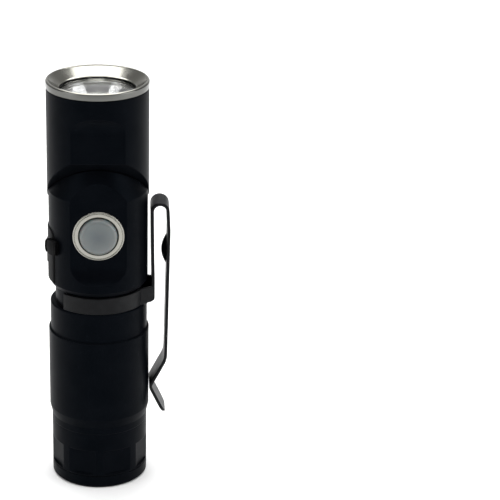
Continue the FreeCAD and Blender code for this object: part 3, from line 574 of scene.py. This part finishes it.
def make_button_bezel():
    """Polished ring round the cap: thin outer lip, fine groove and a broad crowned face."""
    outer = (ring_high.z - ring_low.z) / 2
    bore = outer - 1.65 * MM
    seat = -ring_high.y
    top = -ring_low.y - seat
    base = top - 1.2 * MM
    groove = top - 0.14 * MM
    outline = rounded_outline([
        (bore, base, 0), (outer, base, 0), (outer, top - 0.10 * MM, 0.10 * MM),
        (outer - 0.16 * MM, top, 0.06 * MM), (outer - 0.30 * MM, top, 0.05 * MM),
        (outer - 0.38 * MM, groove, 0.04 * MM), (outer - 0.48 * MM, groove, 0.04 * MM),
        (outer - 0.58 * MM, top, 0.06 * MM), (bore + 0.22 * MM, top, 0.10 * MM),
        (bore, top - 0.26 * MM, 0.06 * MM)])
    piece = lathe("button_bezel", outline, 128)
    turn_to_front(piece, seat, button_height)
    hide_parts("button_ring")
    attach(piece, "body")
    dress(piece, "polished_steel")


# ------------------------------------------------------------------ clip
def round_root(bm, low):
    """Roll the outer lower edge of the clip's bulge inwards."""
    radius = 1.3 * MM
    for vertex in bm.verts:
        rise = vertex.co.z - low
        on_bulge = 13.0 * MM < vertex.co.x < clip_hinge.x
        if on_bulge and -0.1 * MM < rise < radius:
            vertex.co.x -= radius - math.sqrt(radius ** 2 - (radius - max(rise, 0)) ** 2)


def press_dimple(bm, height):
    """Press the oval dimple into the clip's arm."""
    half_width = 2.3 * MM
    half_length = 4.25 * MM
    for vertex in bm.verts:
        reach = math.hypot(vertex.co.y / half_width, (vertex.co.z - height) / half_length)
        if vertex.co.x > clip_hinge.x and reach < 1:
            vertex.co.x -= 1.4 * MM * math.cos(reach * math.pi / 2) ** 0.8


def round_tip(bm, low, least_x):
    """Round the two corners of the clip's tip."""
    for vertex in bm.verts:
        drop = low + 2.6 * MM - vertex.co.z
        if vertex.co.x > least_x and drop > 0:
            narrow = math.sqrt(max(0.0, 1 - (drop / (2.9 * MM)) ** 2))
            vertex.co.y *= 0.35 + 0.65 * narrow


def make_clip():
    """The clip's strip above its band: bulge, leg, top bend, arm, contact bend and tip."""
    band_low, band_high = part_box("clip_band")
    arm_low, arm_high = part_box("clip_arm")
    bend = 1.65 * MM
    bend_middle = bend + STRIP_MIDDLE
    bend_x = clip_hinge.x
    bend_z = band_high.z - bend - STRIP
    front_x = CLIP_FRONT - STRIP_MIDDLE
    front_top = 57.5 * MM
    knee_z = 64 * MM
    leg_x = 13.75 * MM + STRIP_MIDDLE
    bulge_x = arm_high.x - STRIP_MIDDLE
    low_bend_z = 34 * MM
    contact_x = arm_low.x + STRIP_MIDDLE - 0.50 * MM
    tip_z = arm_low.z

    def at(x, z):
        return Vector((x, 0, z))

    leg = [at(front_x, band_low.z), at(front_x, front_top), at(leg_x + 0.15 * MM, knee_z),
           at(leg_x, bend_z)]
    path = smooth_path(leg, [12 * MM, 20 * MM])[:-1]
    steps = 24
    for step in range(steps + 1):
        angle = math.pi - math.pi * step / steps
        path.append(at(bend_x + bend_middle * math.cos(angle),
                       bend_z + bend_middle * math.sin(angle)))
    arm = [at(bend_x + bend_middle, bend_z), at(bulge_x, bend_z - 5.6 * MM),
           at(bulge_x - 0.7 * MM, low_bend_z), at(contact_x, tip_z + 8.0 * MM),
           at(contact_x + 3.8 * MM, tip_z + 0.1 * MM)]
    path += smooth_path(arm, [9 * MM, 6 * MM, 1.8 * MM])[1:]
    bm = sweep_strip(path, arm_high.y, Vector((0, 1, 0)), 20)
    press_dimple(bm, bend_z - 11.6 * MM)
    round_root(bm, band_low.z)
    round_tip(bm, tip_z, contact_x)
    piece = finish_bmesh("clip_strip", bm)
    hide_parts("clip_arm")
    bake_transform(piece)
    dress(piece, "black_steel")


def make_clip_band():
    """The open band in the neck groove, with its flat-topped bulge."""
    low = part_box("clip_band")[0].z
    half_height = 2.3 * MM
    radius = 11.75 * MM + STRIP_MIDDLE
    front_x = CLIP_FRONT - STRIP_MIDDLE
    half_front = 3.7 * MM
    mouth = math.radians(42)
    root = math.radians(27)
    sweep = math.pi - mouth - root
    steps = 60

    def on_neck(angle):
        return Vector((radius * math.cos(angle), radius * math.sin(angle), 0))

    path = [on_neck(-math.pi + mouth + sweep * step / steps) for step in range(steps + 1)]
    bulge = [on_neck(-root), Vector((front_x, -half_front, 0)), Vector((front_x, half_front, 0)),
             on_neck(root)]
    path += smooth_path(bulge, [0.8 * MM, 0.8 * MM])[1:]
    path += [on_neck(root + sweep * step / steps) for step in range(1, steps + 1)]
    bm = sweep_strip(path, half_height, Vector((0, 0, 1)), 14)
    bmesh.ops.translate(bm, vec=(0, 0, low + half_height), verts=bm.verts)
    round_root(bm, low)
    piece = finish_bmesh("clip_ring", bm)
    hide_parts("clip_band")
    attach(piece, "body")
    dress(piece, "black_steel")


# ------------------------------------------------------------------ port cover
def inside_outline(x, y, outline):
    """Whether a point is inside a closed outline (even-odd rule)."""
    found = False
    for index, (ax, ay) in enumerate(outline):
        bx, by = outline[index - 1]
        if (ay > y) != (by > y) and x < (bx - ax) * (y - ay) / (by - ay) + ax:
            found = not found
    return found


def make_port_cover():
    """Rubber cover and strap in one skin, with rounded corners and a raised bolt."""
    low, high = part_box("port_cover")
    strap_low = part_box("cover_anchor")[0].z
    top = high.z - 0.01 * MM
    face = 13.4 * MM
    back_x = -11.1 * MM
    corner = 2.2 * MM
    strap_taper = 1.2 * MM
    edge_roll = 0.45 * MM
    rows = 116
    columns = 90
    bolt = [(0.4, 3.4), (-1.5, -0.4), (-0.2, -0.4), (-0.7, -3.4), (1.5, 0.7), (0.2, 0.7),
            (1.1, 3.4)]
    bolt_z = (strap_low + high.z) / 2 + 0.4 * MM

    def half_at(z):
        """Half width at a height, narrowing round the upper corners."""
        over = z - (high.z - corner)
        if over <= 0:
            return high.y
        return high.y - corner + math.sqrt(max(0.0, corner ** 2 - over ** 2))

    def radius_at(y, z):
        """Distance of the cover's face from the light's axis."""
        rise = z - strap_low
        edge = min(half_at(z) - abs(y), high.z - z, rise + 1 * MM)
        radius = face - 0.8 * MM * max(0.0, 1 - rise / strap_taper)
        radius -= 0.18 * MM * max(0.0, 1 - edge / edge_roll) ** 2
        if inside_outline(y / MM, (z - bolt_z) / MM, bolt):
            radius += 0.24 * MM
        return radius

    bm = bmesh.new()
    front = []
    back = []
    for row in range(rows + 1):
        z = strap_low + (top - strap_low) * row / rows
        line = [half_at(z) * (2 * column / columns - 1) for column in range(columns + 1)]
        front.append([bm.verts.new((-math.sqrt(radius_at(y, z) ** 2 - y ** 2), y, z))
                      for y in line])
        back.append([bm.verts.new((back_x, y, z)) for y in line])
    for skin in (front, back):
        for first, second in zip(skin, skin[1:]):
            join_lines(bm, first, second)
    for end in (0, -1):
        join_lines(bm, front[end], back[end])
        join_lines(bm, [line[end] for line in front], [line[end] for line in back])
    piece = finish_bmesh("rubber_cover", bm)
    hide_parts("port_cover", "cover_anchor")
    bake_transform(piece)
    dress(piece, "black_rubber")


def make_cover_tab():
    """Soft pull tab on the button side of the cover, wrapped round the housing."""
    middle_z = 68.0 * MM
    half_height = 1.6 * MM
    inner = 13.2 * MM
    outer = 14.85 * MM
    bm = bmesh.new()
    bmesh.ops.create_cube(bm, size=2.0)
    bmesh.ops.subdivide_edges(bm, edges=bm.edges[:], cuts=6, use_grid_fill=True)
    for vertex in bm.verts:
        out, along, up = vertex.co
        softness = (1 - 0.10 * up ** 2) * (1 - 0.12 * along ** 2) * (0.88 - 0.12 * along)
        radius = inner + (outer - inner) * (out + 1) / 2 * softness
        angle = math.radians(208.5 + 8.5 * along * (1 - 0.08 * up ** 2))
        vertex.co = (radius * math.cos(angle), radius * math.sin(angle),
                     middle_z + half_height * up * (1 - 0.06 * along ** 2))
    hard_edges = [edge for edge in bm.edges if edge.calc_face_angle(0) > 1.0]
    bmesh.ops.bevel(bm, geom=hard_edges, offset=0.35 * MM, segments=4, profile=0.5,
                    affect="EDGES")
    piece = finish_bmesh("cover_tab", bm)
    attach(piece, "cover")
    dress(piece, "black_rubber")


def make_cover_plug():
    """Soft-edged plug behind the cover, which fills the port's mouth."""
    inner = -11.2 * MM
    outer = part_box("port_cover")[1].x
    half_width = 1.1 * MM
    low_z = 60.8 * MM
    high_z = 67.8 * MM
    bm = bmesh.new()
    bmesh.ops.create_cube(bm, size=1.0)
    for vertex in bm.verts:
        vertex.co = (inner + (vertex.co.x + 0.5) * (outer - inner), vertex.co.y * 2 * half_width,
                     low_z + (vertex.co.z + 0.5) * (high_z - low_z))
    bmesh.ops.bevel(bm, geom=bm.edges[:], offset=0.4 * MM, segments=5, profile=0.5,
                    affect="EDGES")
    piece = finish_bmesh("cover_plug", bm)
    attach(piece, "cover")
    dress(piece, "black_rubber")


# ------------------------------------------------------------------ springs
def make_spring(name, node, body, turns):
    """A round-wire coil with one closed turn at each end, in the sleeve's space."""
    low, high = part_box(node)
    wire = 0.35 * MM
    radius = high.x - wire
    open_pitch = (high.z - low.z - 6 * wire) / (turns - 2)
    steps = turns * 24
    sides = 10
    up = Vector((0, 0, 1))
    bm = bmesh.new()
    rings = []
    for step in range(steps + 1):
        turn = turns * step / steps
        closed_turns = min(turn, 1) + max(turn - turns + 1, 0)
        open_turns = min(max(turn - 1, 0), turns - 2)
        rise = wire + closed_turns * 2 * wire + open_turns * open_pitch
        angle = 2 * math.pi * turn
        outward = Vector((math.cos(angle), math.sin(angle), 0))
        centre = outward * radius + up * (low.z + rise)
        around = [2 * math.pi * side / sides for side in range(sides)]
        rings.append([bm.verts.new(centre + (outward * math.cos(phi) + up * math.sin(phi)) * wire)
                      for phi in around])
    for first, second in zip(rings, rings[1:]):
        join_rings(bm, first, second)
    bm.faces.new(rings[0])
    bm.faces.new(rings[-1])
    piece = finish_bmesh(name, bm)
    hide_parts(node)
    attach(piece, body)
    dress(piece, "brass")


# ------------------------------------------------------------------ camera, floor and light
def make_camera():
    """Long lens, above and in front of the light, aimed so that it stands at the left."""
    data = bpy.data.cameras.new("camera")
    data.sensor_width = 36.0
    data.lens = 153.0
    data.clip_start = 0.01
    camera = bpy.data.objects.new("camera", data)
    bpy.context.scene.collection.objects.link(camera)
    camera.location = (0.0, -0.5266, 0.2740)
    aim = Vector((0.0404, 0.0, 0.0642))
    roll = Matrix.Rotation(math.radians(1.27), 3, "Z")
    direction = (aim - camera.location).normalized()
    turn = direction.to_track_quat("-Z", "Y").to_matrix()
    camera.rotation_euler = (turn @ roll).to_euler()
    bpy.context.scene.camera = camera


def make_floor():
    """A plain pale floor that runs up into a backdrop far behind."""
    half_width = 9.0
    curve_start = 1.4
    curve_radius = 0.8
    profile = [(-9.0, 0.0), (curve_start, 0.0)]
    steps = 12
    for step in range(1, steps + 1):
        angle = math.radians(90 * step / steps)
        profile.append((curve_start + curve_radius * math.sin(angle),
                        curve_radius - curve_radius * math.cos(angle)))
    profile.append((curve_start + curve_radius, 4.0))
    bm = bmesh.new()
    lines = [[bm.verts.new((side * half_width, y, z)) for side in (-1, 1)] for y, z in profile]
    for first, second in zip(lines, lines[1:]):
        join_lines(bm, first, second)
    floor = finish_bmesh("studio_floor", bm)
    material, tree, shader = new_material("pale_floor")
    shade = object_noise(tree, 3.0, 3.0)
    tree.links.new(ramp_between(tree, shade, 0.3, 0.7, grey(0.86), grey(0.88)),
                   shader.inputs["Base Color"])
    shader.inputs["Roughness"].default_value = 0.9
    floor.data.materials.append(material)


def make_area_light(name, place, aim, width, height, power):
    """A soft rectangular light."""
    data = bpy.data.lights.new(name, "AREA")
    data.shape = "RECTANGLE"
    data.size = width
    data.size_y = height
    data.energy = power
    light = bpy.data.objects.new(name, data)
    bpy.context.scene.collection.objects.link(light)
    light.location = place
    light.rotation_euler = (Vector(aim) - Vector(place)).to_track_quat("-Z", "Y").to_euler()


def make_light():
    """Even white studio light with tall soft boxes that draw the tube's highlights."""
    world = bpy.data.worlds.new("studio")
    world.use_nodes = True
    background = world.node_tree.nodes["Background"]
    background.inputs["Color"].default_value = grey(1)
    background.inputs["Strength"].default_value = 0.30
    bpy.context.scene.world = world
    make_area_light("overhead", (0.0, 0.15, 1.0), (0, 0, 0), 1.1, 1.1, 14.5)
    make_area_light("backdrop_wash", (0.0, 0.9, 1.1), (0, 1.2, 0), 1.2, 1.2, 9.0)
    make_area_light("right_box", (0.62, -0.22, 0.30), (0, 0, 0.06), 0.45, 0.7, 2.6)
    make_area_light("left_box", (-0.62, -0.30, 0.30), (0, 0, 0.06), 0.40, 0.7, 1.8)


make_camera()
make_floor()
make_light()
make_bezel_rim()
make_facet_reflector()
make_button_cap()
make_button_bezel()
make_clip()
make_clip_band()
make_port_cover()
make_cover_tab()
make_cover_plug()
make_spring("front_coil", "front_spring", "body", 4)
make_spring("tail_coil", "tail_spring", "tail_core", 5)

bpy.context.scene.view_settings.view_transform = "Standard"
bpy.context.view_layer.update()
